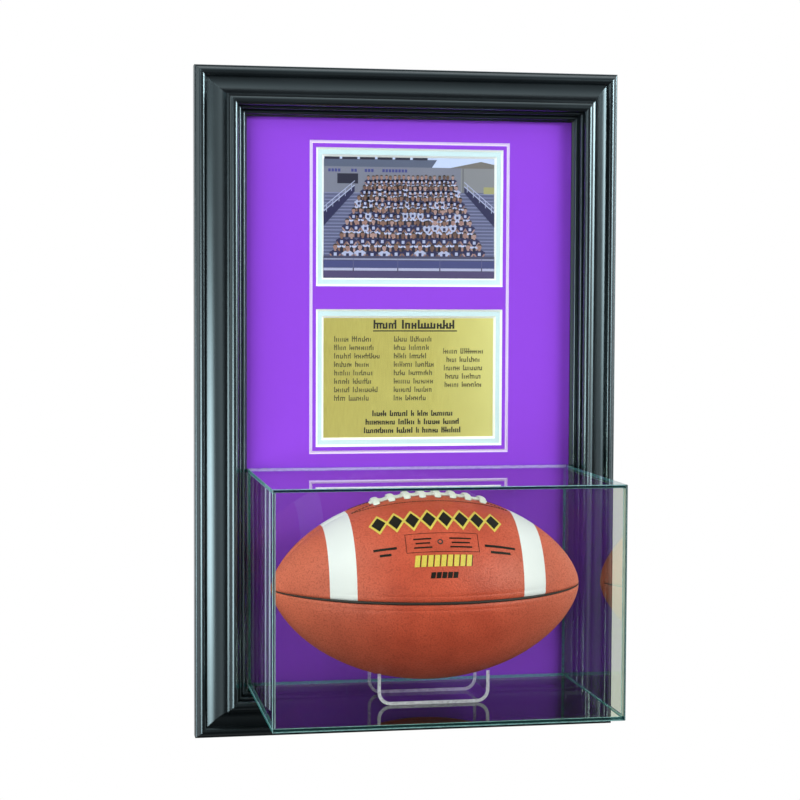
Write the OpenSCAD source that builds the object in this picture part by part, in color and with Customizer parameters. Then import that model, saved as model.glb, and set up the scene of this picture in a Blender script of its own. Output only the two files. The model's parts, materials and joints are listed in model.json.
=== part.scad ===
// Wall-hung football display case: a hinged moulding frame that carries a glass box with a
// football on a clear cradle, closing over a shallow cabinet with a matted print and a plaque.
// Origin: centre of the rear face, on the wall. +Z is up, +X is to the viewer's right and the
// front faces -Y. Modules are drawn with depth as +Y, measured forward from the wall, and
// facing() turns that depth towards -Y. Millimetres.

/* [Frame] */
// Width of the moulding frame, outside
frame_w = 410; // [405:1:420]
// Height of the moulding frame, outside
frame_h = 636; // [630:1:650]
// Width of the moulding, from its outer edge to its sight edge
rail_w = 48.2; // [47.5:0.1:49]
// Plane in which the door's back meets the cabinet, forward of the wall
door_d = 20; // [20:0.1:20.5]
// Front of the moulding's outer edge, forward of the wall
edge_d = 34; // [33:0.5:35]
// Top of the outer bead, forward of the wall
bead_d = 40; // [39:0.5:41]
// Top of the inner ridge, the highest line of the moulding, forward of the wall
ridge_d = 61; // [59:0.5:62]
// Front of the sight lip, forward of the wall
lip_d = 43.5; // [43:0.1:44]
// Radius of the moulding's wide cove
cove_r = 24; // [22:0.5:40]

/* [Cabinet] */
// How far the cabinet stands in from the moulding's outer edge
cabinet_inset = 6; // [5.8:0.1:6.2]
// Thickness of the cabinet's sides
side_t = 12; // [12:0.5:14]
// Depth of the cabinet, from the wall to the front of its sides
cabinet_d = 19.5; // [19.3:0.1:19.6]
// Thickness of the back panel
back_t = 6; // [5:0.5:7]
// Radius of the four wall screw holes
wall_hole_r = 2.75; // [2.5:0.05:3.2]

/* [Mats and picture] */
// Front face of the top mat, forward of the wall
mat_d = 38; // [38:0.1:38.2]
// Thickness of each mat board, and of its bevel
mat_t = 2.2; // [1.5:0.1:3]
// Width of the matted stack
stack_w = 324; // [323:1:324]
// Height of the matted stack
stack_h = 550; // [549:1:550]
// Width of the picture window and of the plaque window, at the print
window_w = 165.1; // [160:0.1:168]
// Height of the picture window and of the plaque window, at the print
window_h = 113.8; // [110:0.1:116]
// Height of the picture window's centre above the origin
picture_z = 177.2; // [176:0.1:178]
// Height of the plaque window's centre above the origin
plaque_z = 24.4; // [23:0.1:26]
// Half the width of the top mat's openings, at its face
opening_half_w = 90.6; // [90:0.1:92]
// Half the height of the top mat's openings, at its face
opening_half_h = 65.5; // [65:0.1:67]
// Half the width of the V-groove rectangle, along the groove's middle
groove_half_w = 95.4; // [94:0.1:99]
// Half the height of the V-groove rectangle, along the groove's middle
groove_half_h = 147.1; // [146:0.1:150]
// Width of the V-groove
groove_w = 2.9; // [2:0.1:3.2]
// Thickness of the picture glass
picture_glass_t = 2; // [2:0.1:2.2]

/* [Glass box] */
// Width of the glass box, outside
box_w = 311.15; // [310:0.05:312]
// Height of the glass box, outside
box_h = 207.75; // [205:0.05:210]
// Front face of the glass box, forward of the wall
box_d = 244; // [240:0.5:250]
// Thickness of the box's glass
glass_t = 3.2; // [3:0.1:4]
// Gap under the glass box, above the frame's sight edge
box_gap = 1.7; // [1.2:0.1:2.5]
// Sideways place of the glass box
box_x = -0.5; // [-0.5:0.1:0.5]

/* [Football and cradle] */
// Length of the football
ball_l = 286; // [279:1:290]
// Diameter of the football
ball_dia = 168.5; // [168:0.5:175]
// Sideways place of the football's middle
ball_x = -2; // [-3:0.5:3]
// Height of the football's axis above the origin
ball_z = -161.3; // [-162:0.1:-158]
// The football's axis, forward of the wall
ball_d = 136; // [134:0.5:140]
// How far the laces lean to the front, in degrees
ball_roll = 2.3; // [-10:0.1:10]
// How full the football's ends are, as the power in its outline
ball_power = 0.62; // [0.5:0.01:0.75]
// Thickness of the football's leather and lining
leather_t = 3.5; // [2:0.5:4]
// Width of the cradle, outside
cradle_w = 103; // [95:1:110]
// Depth of the cradle's strip, front to back
cradle_depth = 54; // [45:1:60]
// Thickness of the cradle's strip
cradle_t = 3; // [2.5:0.5:4]

/* [Hinges and catches] */
// Length of each hinge
hinge_l = 50; // [40:1:60]
// Height of each hinge's middle above or below the origin
hinge_z = 220; // [180:5:250]
// Radius of the hinge's barrel
barrel_r = 2.5; // [2.4:0.1:2.6]
// Radius of the hinge's pin
pin_r = 1.25; // [1:0.05:1.4]
// Radial clearance of the pin in the door's knuckles
pin_clear = 0.05; // [0.02:0.01:0.1]
// Height of each magnet catch above or below the origin
catch_z = 150; // [100:5:250]

/* [Hidden] */

$fn = 48;
eps = 0.1;               // how far a cutter runs past a face

// Frame
half_w = frame_w / 2;
half_h = frame_h / 2;
sight_x = half_w - rail_w;
sight_z = half_h - rail_w;
lip_t = 2.3;             // thickness of the sight lip
rabbet_room = 2.5;       // room round the matted stack in the door's rabbet
rabbet_x = stack_w / 2 + rabbet_room;
rabbet_u = half_w - rabbet_x;
bead_r = 4;
bead_u = 6.8;            // middle of the outer bead, from the outer edge
edge_r = 1.6;            // rounding of the outer edge
cove_end_u = 28.6;       // where the cove meets the fillet beside the ridge
cove_end_drop = 5;       // how far the cove's end lies behind the ridge's top
fillet_w = 1.9;          // the narrow band between the cove and the ridge's quirk
fillet_rise = 0.5;
quirk_drop = 1.2;        // depth of the groove between the fillet and the ridge
ridge_r = 4.3;
ridge_u = 35;
step_r = 1.9;            // the two small reeds on the inner wall
step_u = [40.2, 44.4];   // their middles, from the outer edge
step_fall = [8.6, 13.8]; // how far their middles lie behind the ridge's top

// Cabinet
cab_x = half_w - cabinet_inset;
cab_z = half_h - cabinet_inset;
rabbet_cab = 6;          // the sides' rabbet for the back panel
wall_hole_x = (cab_x - side_t + stack_w / 2) / 2;
wall_hole_z = 270;
plate_size = [20, 2, 40];
rivet_r = 1.5;
rivet_z = 14;            // rivets above and below each wall screw hole

// Matted stack, from the glass back to the risers
top_mat_d = mat_d - mat_t;
inner_mat_d = top_mat_d - mat_t;
print_t = 0.4;
print_d = inner_mat_d - print_t;
board_t = 4;
board_d = print_d - board_t;
glass_d = mat_d + picture_glass_t;
riser_w = 20;
print_margin = 6.35;     // the print and the plaque run this far under the inner mat
retainer_t = 0.8;
retainer_back = 14;
retainer_lap = 3.5;      // how far the retainer covers the glass

// Glass box
box_bottom = -sight_z + box_gap;
box_top = box_bottom + box_h;
box_back = glass_d + 0.5;
box_lo = box_x - box_w / 2;
box_hi = box_x + box_w / 2;

// Cradle
cradle_x = 0;
cradle_d = 135;          // its middle, forward of the wall
cradle_corner_r = 12;
cradle_gap = 0.4;        // play between the leather and the cradle
cradle_rise = 34;        // height of the strip's ends before they are hollowed

// Hinges
axis_x = half_w - 3.2;
axis_d = (cabinet_d + door_d) / 2;
leaf_t = 1;
leaf_in = 14;            // how far a leaf runs in from the axis
knuckle_count = 5;
knuckle_gap = 0.3;
leaf_screw_r = 1.3;
leaf_screw_head_r = 2.4;
leaf_screw_l = 10;
leaf_screw_in = 8.5;     // the screws' place, in from the axis
leaf_screw_z = [-17, 17];
hinge_room = 0.7;        // clearance of the moulding's notch round the barrel
pin_head = 0.8;

// Catches
catch_x = cab_x - side_t / 2;
magnet_r = 5;
magnet_l = 8;
strike_r = 6;
strike_t = 1.5;

// Football
ball_steps = 30;         // straight stretches in the football's outline
tip_r = 1.5;
bladder_gap = 0.2;
bladder_t = 1;
lace_first = -51.2;
lace_pitch = 14.7;
lace_count = 8;
lace_w = 5;
lace_t = 2.6;
lace_half_angle = 8;
spine_half_angle = 2.6;
valve_x = -1.5;
valve_angle = 38;        // above the front seam
valve_r = 2.2;

black = "#15181a";
stained = "#1c1d1f";
steel = "#b9bcc0";
glass_green = [0.75, 0.9, 0.88, 0.35];

// ---- helpers ----

// Turns forward depth into -Y.
module facing() { mirror([0, 1, 0]) children(); }

// A block between two corners.
module block(lo, hi) { translate(lo) cube(hi - lo); }

// A cylinder along the depth, from depth d0 to d1.
module rod(x, z, r, d0, d1) {
    translate([x, d1, z]) rotate([90, 0, 0]) cylinder(h = d1 - d0, r = r);
}

// A countersunk screw whose head's face lies at depth d and whose shank runs towards dir.
module screw(x, z, d, length, r, head_r, dir) {
    slot_w = head_r / 4;
    translate([x, d, z]) rotate([dir > 0 ? -90 : 90, 0, 0]) difference() {
        union() {
            cylinder(h = head_r - r, r1 = head_r, r2 = r);
            cylinder(h = length, r = r);
        }
        translate([-head_r, -slot_w / 2, -eps]) cube([2 * head_r, slot_w, 0.4 + eps]);
    }
}

// The hole that such a screw fills.
module screw_hole(x, z, d, length, r, head_r, dir) {
    translate([x, d, z]) rotate([dir > 0 ? -90 : 90, 0, 0]) {
        cylinder(h = head_r - r, r1 = head_r, r2 = r);
        cylinder(h = length, r = r);
        translate([0, 0, -eps]) cylinder(h = eps, r = head_r);
    }
}

// A bar along X with mitred ends, its outer edge at z = 0. Profile points are [depth, width].
module mitred_bar(points, length, width) {
    far = 100;
    intersection() {
        rotate([90, 0, 90]) translate([0, 0, -length / 2]) linear_extrude(length) polygon(points);
        translate([0, far, 0]) rotate([90, 0, 0]) linear_extrude(2 * far)
            polygon([[-length / 2, 0], [length / 2, 0], [length / 2 - width, width],
                [-length / 2 + width, width]]);
    }
}

// Carries a bar to one side of a rectangle of half sizes hw and hh: s_x or s_z is -1 or 1.
module frame_side(s_x, s_z, hw, hh) {
    turn = s_x == 0 ? (s_z > 0 ? 180 : 0) : -90 * s_x;
    translate([s_x * hw, 0, s_z * hh]) rotate([0, turn, 0]) children();
}

// The four mitred bars of a rectangle, half sizes hw and hh to the bars' outer edges.
module mitred_ring(points, hw, hh, width) {
    for (s = [-1, 1]) {
        frame_side(0, s, hw, hh) mitred_bar(points, 2 * hw, width);
        frame_side(s, 0, hw, hh) mitred_bar(points, 2 * hh, width);
    }
}

// Points on an arc round c = [depth, width], from angle a0 to a1 measured from +width to +depth.
function arc(c, r, a0, a1, n) =
    [for (i = [0:n]) let (a = a0 + (a1 - a0) * i / n) [c[0] + r * sin(a), c[1] + r * cos(a)]];

// Points on the hollow arc of radius r from p to q, its centre on the side towards more depth.
function hollow_arc(p, q, r, n) =
    let (
        chord = q - p,
        len = norm(chord),
        normal = [chord[1], -chord[0]] / len,
        c = (p + q) / 2 + normal * sqrt(r * r - len * len / 4),
        a0 = atan2(p[0] - c[0], p[1] - c[1]),
        a1 = atan2(q[0] - c[0], q[1] - c[1])
    ) arc(c, r, a0, a1, n);

// The moulding's outline: outer edge, bead, cove, fillet, quirk, ridge, two reeds, lip and rabbet.
function moulding() = concat(
    [[door_d, 0]],
    arc([edge_d - edge_r, edge_r], edge_r, 180, 90, 8),
    arc([bead_d - bead_r, bead_u], bead_r, 180, 0, 20),
    hollow_arc([bead_d - bead_r, bead_u + bead_r], [ridge_d - cove_end_drop, cove_end_u], cove_r, 24),
    [[ridge_d - cove_end_drop + fillet_rise, cove_end_u + fillet_w],
        [ridge_d - cove_end_drop + fillet_rise - quirk_drop, cove_end_u + fillet_w + 0.2]],
    arc([ridge_d - ridge_r, ridge_u], ridge_r, 190, -50, 24),
    arc([ridge_d - step_fall[0], step_u[0]], step_r, 150, -40, 16),
    arc([ridge_d - step_fall[1], step_u[1]], step_r, 150, -40, 16),
    [[lip_d + 0.8, rail_w - 0.8], [lip_d, rail_w], [lip_d - lip_t, rail_w],
        [lip_d - lip_t, rabbet_u], [door_d, rabbet_u]]
);

// The football's radius at a distance x from its middle.
function ball_r(x) = ball_dia / 2 * pow(max(0, 1 - pow(2 * x / ball_l, 2)), ball_power);

// The football's half outline as [radius, x] points, drawn in by inset.
function ball_outline(inset) = [for (i = [0:ball_steps])
    let (x = -(ball_l / 2 - inset) * cos(180 * i / ball_steps),
        full = ball_r(x * ball_l / (ball_l - 2 * inset)))
    [max(tip_r, full * (1 - 2 * inset / ball_dia)), x]];

// Turns a revolved shape onto the football's axis, angle zero pointing forward.
module on_ball(angle) {
    translate([ball_x, ball_d, ball_z]) rotate([angle - ball_roll, 0, 0]) rotate([90, 0, 90])
        children();
}

// A sector that follows the leather from x0 to x1, between two heights above it.
module ball_band(x0, x1, low, high, steps) {
    xs = [for (i = [0:steps]) x0 + (x1 - x0) * i / steps];
    polygon(concat([for (x = xs) [ball_r(x) + low, x]],
        [for (i = [steps:-1:0]) [ball_r(xs[i]) + high, xs[i]]]));
}

// ---- cabinet ----

module back_panel() color("#8a6f4d") facing() difference() {
    block([-cab_x + rabbet_cab, 0, -cab_z + rabbet_cab], [cab_x - rabbet_cab, back_t, cab_z - rabbet_cab]);
    at_wall_holes() rod(0, 0, wall_hole_r, -eps, back_t + eps);
    at_wall_holes() for (s = [-1, 1]) rod(0, s * rivet_z, rivet_r, -eps, back_t + eps);
    at_back_screws() back_screw_hole();
    at_riser_screws() riser_screw_hole();
}

module at_wall_holes() {
    for (sx = [-1, 1], sz = [-1, 1]) translate([sx * wall_hole_x, 0, sz * wall_hole_z]) children();
}

module at_back_screws() {
    edge = rabbet_cab + 2.8;
    for (sx = [-1, 1], z = [-230, 0, 230]) translate([sx * (cab_x - edge), 0, z]) children();
    for (sz = [-1, 1]) translate([0, 0, sz * (cab_z - edge)]) children();
}

module back_screw() screw(0, 0, 0, 15, 1.4, 2.6, 1);
module back_screw_hole() screw_hole(0, 0, 0, 15, 1.4, 2.6, 1);

module at_riser_screws() {
    for (sx = [-1, 1], z = [-180, 0, 180])
        translate([sx * (stack_w - riser_w) / 2, 0, z]) children();
    for (sz = [-1, 1]) translate([0, 0, sz * (stack_h - riser_w) / 2]) children();
}

module riser_screw() screw(0, 0, 0, 20, 1.6, 3, 1);
module riser_screw_hole() screw_hole(0, 0, 0, 20, 1.6, 3, 1);

// The four boards of the cabinet before their fittings are cut; the top and bottom fit between.
module cabinet_side(s) {
    inner = cab_x - side_t;
    color(stained) facing() difference() {
        block([s > 0 ? inner : -cab_x, 0, -cab_z], [s > 0 ? cab_x : -inner, cabinet_d, cab_z]);
        block([s > 0 ? inner - eps : -cab_x + rabbet_cab, -eps, -cab_z + rabbet_cab],
            [s > 0 ? cab_x - rabbet_cab : -inner + eps, back_t, cab_z - rabbet_cab]);
        at_back_screws() back_screw_hole();
        if (s > 0) {
            at_hinges() leaf_mortise(cabinet_d - leaf_t, cabinet_d + eps);
            at_leaf_screws() screw_hole(0, 0, cabinet_d, leaf_screw_l, leaf_screw_r,
                leaf_screw_head_r, -1);
        } else {
            at_catches() rod(0, 0, magnet_r, cabinet_d - magnet_l, cabinet_d + eps);
        }
    }
}

module cabinet_end(s) {
    inner = cab_z - side_t;
    span = cab_x - side_t;
    color(stained) facing() difference() {
        block([-span, 0, s > 0 ? inner : -cab_z], [span, cabinet_d, s > 0 ? cab_z : -inner]);
        block([-span - eps, -eps, s > 0 ? inner - eps : -cab_z + rabbet_cab],
            [span + eps, back_t, s > 0 ? cab_z - rabbet_cab : -inner + eps]);
        at_back_screws() back_screw_hole();
    }
}

module cabinet_side_left() cabinet_side(-1);
module cabinet_side_right() cabinet_side(1);
module cabinet_top() cabinet_end(1);
module cabinet_bottom() cabinet_end(-1);

// Steel plates that spread the load of the wall screws.
module wall_plates() color(steel) facing() at_wall_holes() difference() {
    translate([-plate_size[0] / 2, back_t, -plate_size[2] / 2]) cube(plate_size);
    rod(0, 0, wall_hole_r, 0, back_t + plate_size[1] + eps);
    for (s = [-1, 1]) rod(0, s * rivet_z, rivet_r, 0, back_t + plate_size[1] + eps);
}

module wall_plate_rivets() color(steel) facing() at_wall_holes() for (s = [-1, 1]) {
    front = back_t + plate_size[1];
    rod(0, s * rivet_z, rivet_r, 0, front + 0.8);
    rod(0, s * rivet_z, 2 * rivet_r, front, front + 0.8);
}

module back_screws() color(steel) facing() at_back_screws() back_screw();

// ---- risers and the matted stack ----

module riser_upright(s) {
    outer = stack_w / 2;
    color("#e8dcc0") facing() difference() {
        block([s > 0 ? outer - riser_w : -outer, back_t, -stack_h / 2],
            [s > 0 ? outer : -outer + riser_w, board_d, stack_h / 2]);
        at_riser_screws() riser_screw_hole();
    }
}

module riser_cross(s) {
    outer = stack_h / 2;
    span = stack_w / 2 - riser_w;
    color("#e8dcc0") facing() difference() {
        block([-span, back_t, s > 0 ? outer - riser_w : -outer],
            [span, board_d, s > 0 ? outer : -outer + riser_w]);
        at_riser_screws() riser_screw_hole();
    }
}

module riser_left() riser_upright(-1);
module riser_right() riser_upright(1);
module riser_top() riser_cross(1);
module riser_bottom() riser_cross(-1);
module riser_screws() color(steel) facing() at_riser_screws() riser_screw();

// A sheet as large as the stack, between two depths.
module sheet(d0, d1) { block([-stack_w / 2, d0, -stack_h / 2], [stack_w / 2, d1, stack_h / 2]); }

// A bevelled opening through a mat: half sizes hw and hh at the back, wider at the face.
module bevelled_opening(z, hw, hh, d0, d1) {
    t = d1 - d0;
    wedge = [[d0 - eps, t + eps], [d0 - eps, t - eps], [d1 + eps, -eps], [d1 + eps, t + eps]];
    translate([0, 0, z]) {
        block([-hw, d0 - eps, -hh], [hw, d1 + eps, hh]);
        mitred_ring(wedge, hw + t, hh + t, t + eps);
    }
}

module backing_board() color("#f2f0ea") facing() sheet(board_d, print_d);

module photo_print() color("#7f8aa6") facing() block(
    [-window_w / 2 - print_margin, print_d, picture_z - window_h / 2 - print_margin],
    [window_w / 2 + print_margin, inner_mat_d, picture_z + window_h / 2 + print_margin]);

module brass_plaque() color("#c9b455") facing() block(
    [-window_w / 2 - print_margin, print_d, plaque_z - window_h / 2 - print_margin],
    [window_w / 2 + print_margin, inner_mat_d, plaque_z + window_h / 2 + print_margin]);

module inner_mat() color("#d2f0f0") facing() difference() {
    sheet(inner_mat_d, top_mat_d);
    for (z = [picture_z, plaque_z])
        bevelled_opening(z, window_w / 2, window_h / 2, inner_mat_d, top_mat_d);
}

module top_mat() color("#8f4de2") facing() difference() {
    sheet(top_mat_d, mat_d);
    for (z = [picture_z, plaque_z])
        bevelled_opening(z, opening_half_w - mat_t, opening_half_h - mat_t, top_mat_d, mat_d);
    v_groove();
}

// One V-groove rectangle round both openings.
module v_groove() {
    vee = [[mat_d - groove_w / 2, groove_w / 2], [mat_d, groove_w], [mat_d + eps, groove_w],
        [mat_d + eps, 0], [mat_d, 0]];
    translate([0, 0, (picture_z + plaque_z) / 2])
        mitred_ring(vee, groove_half_w + groove_w / 2, groove_half_h + groove_w / 2, groove_w);
}

module picture_glass() color(glass_green) facing() sheet(mat_d, glass_d);

// A thin angle strip that holds the glass and mats on the risers, along one edge of the stack.
module retainer(s_x, s_z) {
    front = glass_d + retainer_t;
    width = retainer_t + retainer_lap;
    angle = [[retainer_back, 0], [front, 0], [front, width], [glass_d, width],
        [glass_d, retainer_t], [retainer_back, retainer_t]];
    hw = stack_w / 2 + retainer_t;
    hh = stack_h / 2 + retainer_t;
    color("#2a2c2e") facing() frame_side(s_x, s_z, hw, hh) mitred_bar(angle,
        2 * (s_x == 0 ? hw : hh), width);
}

module retainer_left() retainer(-1, 0);
module retainer_right() retainer(1, 0);
module retainer_top() retainer(0, 1);
module retainer_bottom() retainer(0, -1);

// ---- moulding frame ----

// A rail of the moulding with the pockets for the hinges and the strike plates.
module rail(s_x, s_z) {
    color(black) facing() difference() {
        frame_side(s_x, s_z, half_w, half_h)
            mitred_bar(moulding(), s_x == 0 ? frame_w : frame_h, rail_w);
        if (s_x > 0) {
            at_hinges() leaf_mortise(door_d - eps, door_d + leaf_t);
            at_hinges() barrel_notch();
            at_leaf_screws() screw_hole(0, 0, door_d, leaf_screw_l, leaf_screw_r,
                leaf_screw_head_r, 1);
        }
        if (s_x < 0) {
            at_catches() rod(0, 0, strike_r, door_d - eps, door_d + strike_t);
            at_catches() strike_screw_hole();
        }
    }
}

module rail_left() rail(-1, 0);
module rail_right() rail(1, 0);
module rail_top() rail(0, 1);
module rail_bottom() rail(0, -1);

// V-shaped nails driven across each mitre from the back.
module corner_nails() {
    leg = 4;
    t = 0.6;
    depth = 8;
    color(steel) facing() for (sx = [-1, 1], sz = [-1, 1], along = [12, 26])
        translate([sx * (half_w - along), door_d, sz * (half_h - along)])
            mirror([sx > 0 ? 1 : 0, 0, 0]) mirror([0, 0, sz > 0 ? 1 : 0])
                translate([0, depth, 0]) rotate([90, 0, 0]) linear_extrude(depth)
                    polygon([[0, 0], [leg, 0], [leg, t], [t, t], [t, leg], [0, leg]]);
}

// ---- glass box ----

module glass_front() color(glass_green) facing()
    block([box_lo, box_d - glass_t, box_bottom], [box_hi, box_d, box_top]);

module glass_top() color(glass_green) facing()
    block([box_lo, box_back, box_top - glass_t], [box_hi, box_d - glass_t, box_top]);

module glass_bottom() color(glass_green) facing()
    block([box_lo, box_back, box_bottom], [box_hi, box_d - glass_t, box_bottom + glass_t]);

module glass_left() color(glass_green) facing()
    block([box_lo, box_back, box_bottom + glass_t], [box_lo + glass_t, box_d - glass_t, box_top - glass_t]);

module glass_right() color(glass_green) facing()
    block([box_hi - glass_t, box_back, box_bottom + glass_t], [box_hi, box_d - glass_t, box_top - glass_t]);

// Clear silicone between the box and the sight lip, along the bottom and up both sides.
module box_seal() color([0.8, 0.85, 0.85, 0.6]) facing() difference() {
    block([-sight_x, lip_d - lip_t, -sight_z], [sight_x, lip_d, box_top]);
    block([box_lo, 0, box_bottom], [box_hi, box_d, box_top + eps]);
}

// A strip bent into a U, its ends hollowed to the football's round.
module ball_cradle() {
    floor_z = box_bottom + glass_t;
    color([0.9, 0.93, 1, 0.4]) facing() difference() {
        translate([cradle_x, cradle_d + cradle_depth / 2, floor_z]) rotate([90, 0, 0])
            linear_extrude(cradle_depth) difference() {
                u_shape(cradle_w, cradle_rise, cradle_corner_r);
                translate([0, cradle_t])
                    u_shape(cradle_w - 2 * cradle_t, cradle_rise + eps, cradle_corner_r - cradle_t);
            }
        translate([-cradle_w, ball_d, ball_z]) rotate([0, 90, 0])
            cylinder(h = 2 * cradle_w, r = ball_r(cradle_w / 2 - cradle_t - 2) + cradle_gap);
    }
}

// A rectangle with its two lower corners rounded.
module u_shape(w, h, r) {
    for (s = [-1, 1]) translate([s * (w / 2 - r), r]) circle(r);
    translate([-w / 2 + r, 0]) square([w - 2 * r, h]);
    translate([-w / 2, r]) square([w, h - r]);
}

// ---- hinges and catches ----

module at_hinges() { for (s = [-1, 1]) translate([0, 0, s * hinge_z]) children(); }

module at_leaf_screws() {
    for (s = [-1, 1], z = leaf_screw_z)
        translate([axis_x - leaf_screw_in, 0, s * hinge_z + z]) children();
}

module leaf_mortise(d0, d1) {
    block([axis_x - leaf_in, d0, -hinge_l / 2], [half_w + eps, d1, hinge_l / 2]);
}

module barrel_notch() {
    reach = barrel_r + hinge_room;
    end = hinge_l / 2 + pin_head + hinge_room;
    block([axis_x - reach, door_d - eps, -end], [half_w + eps, axis_d + reach, end]);
}

// One leaf with its share of the knuckles: the first one of each is knuckle number start.
module hinge_leaf(d0, start, bore_r) {
    pitch = (hinge_l + knuckle_gap) / knuckle_count;
    difference() {
        union() {
            difference() {
                block([axis_x - leaf_in, d0, -hinge_l / 2], [axis_x, d0 + leaf_t, hinge_l / 2]);
                for (i = [0:knuckle_count - 1]) if (i % 2 != start)
                    block([axis_x - barrel_r - 0.5, d0 - eps, -hinge_l / 2 + i * pitch - knuckle_gap],
                        [axis_x + eps, d0 + leaf_t + eps, -hinge_l / 2 + (i + 1) * pitch]);
            }
            for (i = [start:2:knuckle_count - 1])
                translate([axis_x, axis_d, -hinge_l / 2 + i * pitch])
                    cylinder(h = pitch - knuckle_gap, r = barrel_r);
        }
        translate([axis_x, axis_d, -hinge_l]) cylinder(h = 2 * hinge_l, r = bore_r);
    }
}

module hinge_cabinet_leaves() color("#c8a24a") facing() difference() {
    at_hinges() hinge_leaf(cabinet_d - leaf_t, 0, pin_r);
    at_leaf_screws() screw_hole(0, 0, cabinet_d, leaf_screw_l, leaf_screw_r, leaf_screw_head_r, -1);
}

module hinge_door_leaves() color("#c8a24a") facing() difference() {
    at_hinges() hinge_leaf(door_d, 1, pin_r + pin_clear);
    at_leaf_screws() screw_hole(0, 0, door_d, leaf_screw_l, leaf_screw_r, leaf_screw_head_r, 1);
}

module hinge_pins() {
    color("#c8a24a") facing() at_hinges() translate([axis_x, axis_d, -hinge_l / 2]) {
        cylinder(h = hinge_l, r = pin_r);
        translate([0, 0, -pin_head]) cylinder(h = pin_head, r = barrel_r - 0.3);
        translate([0, 0, hinge_l]) cylinder(h = pin_head, r = barrel_r - 0.3);
    }
}

module hinge_cabinet_screws() color("#c8a24a") facing() at_leaf_screws()
    screw(0, 0, cabinet_d, leaf_screw_l, leaf_screw_r, leaf_screw_head_r, -1);

module hinge_door_screws() color("#c8a24a") facing() at_leaf_screws()
    screw(0, 0, door_d, leaf_screw_l, leaf_screw_r, leaf_screw_head_r, 1);

module at_catches() { for (s = [-1, 1]) translate([-catch_x, 0, s * catch_z]) children(); }

module catch_magnets() color(steel) facing() at_catches()
    rod(0, 0, magnet_r, cabinet_d - magnet_l, cabinet_d);

module strike_screw_hole() screw_hole(0, 0, door_d, 12, 1.5, 2.8, 1);

module strike_plates() color(steel) facing() at_catches() difference() {
    rod(0, 0, strike_r, door_d, door_d + strike_t);
    strike_screw_hole();
}

module strike_screws() color(steel) facing() at_catches() screw(0, 0, door_d, 12, 1.5, 2.8, 1);

// ---- football ----

// One of the four leather panels, a quarter turn of the shell.
module ball_panel(i) color("#b2532f") facing() on_ball(90 * i)
    difference() {
        rotate_extrude(angle = 90) polygon(concat([[0, -ball_l / 2]], ball_outline(0),
            [[0, ball_l / 2], [0, ball_l / 2 - leather_t]],
            [for (i = [ball_steps:-1:0]) ball_outline(leather_t)[i]],
            [[0, -ball_l / 2 + leather_t]]));
        if (i == 0) valve_hole();
    }

// The round place of the valve, drawn in the panel's own frame.
module valve_hole() {
    rotate([0, 0, valve_angle]) translate([0, 0, valve_x]) rotate([0, 90, 0])
        cylinder(h = ball_dia, r = valve_r);
}

module ball_panel_1() ball_panel(0);
module ball_panel_2() ball_panel(1);
module ball_panel_3() ball_panel(2);
module ball_panel_4() ball_panel(3);

// The rubber bladder, a thin closed shell inside the leather.
module ball_bladder() {
    outer = leather_t + bladder_gap;
    inner = outer + bladder_t;
    color("#3a3a3a") facing() on_ball(0) rotate_extrude() polygon(concat(
        [[0, -ball_l / 2 + outer]], ball_outline(outer), [[0, ball_l / 2 - outer],
        [0, ball_l / 2 - inner]], [for (i = [ball_steps:-1:0]) ball_outline(inner)[i]],
        [[0, -ball_l / 2 + inner]]));
}

// Eight cross laces over one lengthwise strand, on top of the ball.
module ball_laces() {
    last = lace_first + lace_pitch * (lace_count - 1);
    color("#f4f6f6") facing() on_ball(90) {
        for (i = [0:lace_count - 1]) rotate([0, 0, -lace_half_angle])
            rotate_extrude(angle = 2 * lace_half_angle)
                ball_band(lace_first + i * lace_pitch - lace_w / 2,
                    lace_first + i * lace_pitch + lace_w / 2, 0.1, lace_t, 2);
        rotate([0, 0, -spine_half_angle]) rotate_extrude(angle = 2 * spine_half_angle)
            ball_band(lace_first - lace_w, last + lace_w, 0.1, lace_t - 0.4, 16);
    }
}

// The valve's rubber plug, flush in the leather.
module ball_valve() {
    surface = ball_r(valve_x);
    color("#1a1a1a") facing() on_ball(0) rotate([0, 0, valve_angle])
        translate([surface - leather_t + 0.2, 0, valve_x]) rotate([0, 90, 0])
            cylinder(h = leather_t - 0.5, r = valve_r);
}

back_panel();
cabinet_side_left();
cabinet_side_right();
cabinet_top();
cabinet_bottom();
wall_plates();
wall_plate_rivets();
back_screws();
riser_left();
riser_right();
riser_top();
riser_bottom();
riser_screws();
backing_board();
photo_print();
brass_plaque();
inner_mat();
top_mat();
picture_glass();
retainer_left();
retainer_right();
retainer_top();
retainer_bottom();
hinge_cabinet_leaves();
hinge_pins();
hinge_cabinet_screws();
catch_magnets();
rail_left();
rail_right();
rail_top();
rail_bottom();
corner_nails();
glass_front();
glass_top();
glass_bottom();
glass_left();
glass_right();
box_seal();
ball_cradle();
hinge_door_leaves();
hinge_door_screws();
strike_plates();
strike_screws();
ball_panel_1();
ball_panel_2();
ball_panel_3();
ball_panel_4();
ball_bladder();
ball_laces();
ball_valve();
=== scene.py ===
"""Football display case: its looks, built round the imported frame.

Metres, in the frame of the CAD: X to the viewer's right, -Y to the front, Z up, with the origin
at the centre of the rear face. The functions come in this order: node trees; camera, lights
and backdrop; materials; the building of pieces; cabinet and moulding; print, plaque and mats;
the glass box with its cradle; and the football.
"""

import json
import math
import random

import bmesh
import bpy
from mathutils import Matrix, Vector

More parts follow.
